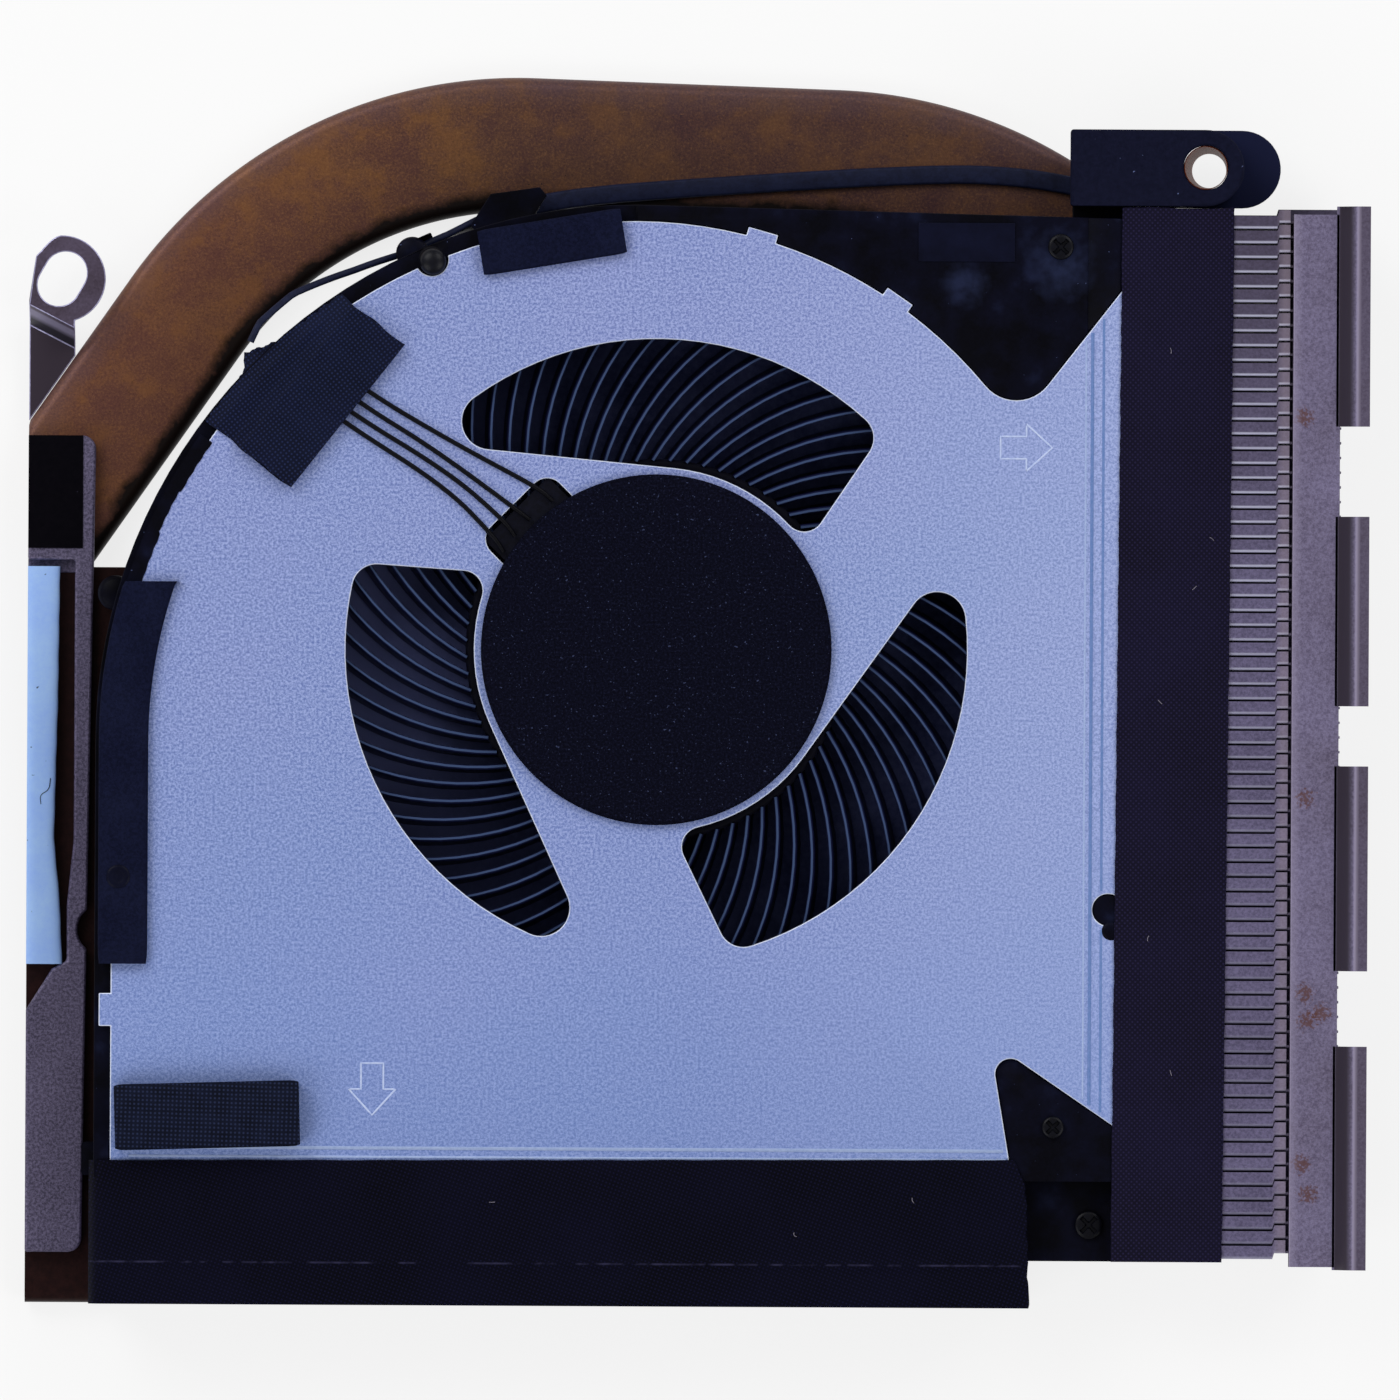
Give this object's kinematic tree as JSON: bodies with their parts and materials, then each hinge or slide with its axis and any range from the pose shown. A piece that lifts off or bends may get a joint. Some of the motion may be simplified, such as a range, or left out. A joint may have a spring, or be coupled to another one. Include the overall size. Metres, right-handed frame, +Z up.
{
  "type": "laptop cooling fan heatsink",
  "caption": "Corner of a laptop cooling module: a flat blower fan whose two outlets end in fin stacks, with flattened heat pipes, a cold plate, tapes, foams and a rubber mount.",
  "frame": {"origin": "middle of the outline, on the plane that the heat pipes rest on", "axes": "+X towards the side fins, +Y away from the lower fins, +Z up through the fan's base plate"},
  "size_m": [0.114, 0.1044, 0.0132],
  "materials": {
    "plate_steel": "matt grey, fine grain",
    "housing_plastic": "moulded, black",
    "impeller_plastic": "moulded, dark",
    "black_screw": "blackened",
    "foam": "closed-cell foam, black",
    "cloth_tape": "woven, black",
    "gasket_fabric": "woven, black",
    "black_film": "film, black",
    "wire_jacket": "smooth, black",
    "fin_aluminium": "stamped, dull",
    "cover_steel": "dull, stained",
    "copper": "oxidised copper",
    "plated_metal": "plated, grainy",
    "thermal_pad_blue": "soft, pale blue",
    "mount_rubber": "moulded, black",
    "bronze": "turned",
    "motor_steel": "stamped",
    "magnet": "pressed, dark",
    "coil_copper": "enamelled winding",
    "board": "lacquered"
  },
  "bodies": {
    "frame": {"fan_base_plate": "plate_steel", "fan_housing": "housing_plastic", "fan_floor": "housing_plastic", "lead_plug": "housing_plastic", "corner_screws": "black_screw", "motor_pad": "foam", "rim_foam_left": "foam", "rim_foam_top": "foam", "side_tape": "cloth_tape", "lower_tape": "cloth_tape", "wire_tape": "cloth_tape", "fabric_gasket": "gasket_fabric", "corner_patch": "black_film", "cold_plate_tape": "black_film", "motor_wires": "wire_jacket", "lead_sleeve": "wire_jacket", "side_fins": "fin_aluminium", "side_fin_sheets": "fin_aluminium", "lower_fins": "fin_aluminium", "lower_fin_sheets": "fin_aluminium", "fin_cover": "cover_steel", "bracket_ear": "cover_steel", "upper_heat_pipe": "copper", "lower_heat_pipe": "copper", "copper_base": "copper", "cold_plate": "plated_metal", "thermal_pad": "thermal_pad_blue", "rubber_mount": "mount_rubber", "mount_sleeve": "bronze", "bearing_cup": "bronze", "bearing_sleeve": "bronze", "stator_core": "motor_steel", "stator_coils": "coil_copper", "motor_board": "board"},
    "rotor": {"impeller": "impeller_plastic", "rotor_yoke": "motor_steel", "magnet_ring": "magnet", "rotor_shaft": "motor_steel"}
  },
  "joints": [
    {"name": "impeller_spin", "type": "hinge", "parent": "frame", "child": "rotor", "pos_m": [-0.0035, 0.00358, 0.0065], "axis": [0, 0, 1], "continuous": true}
  ]
}
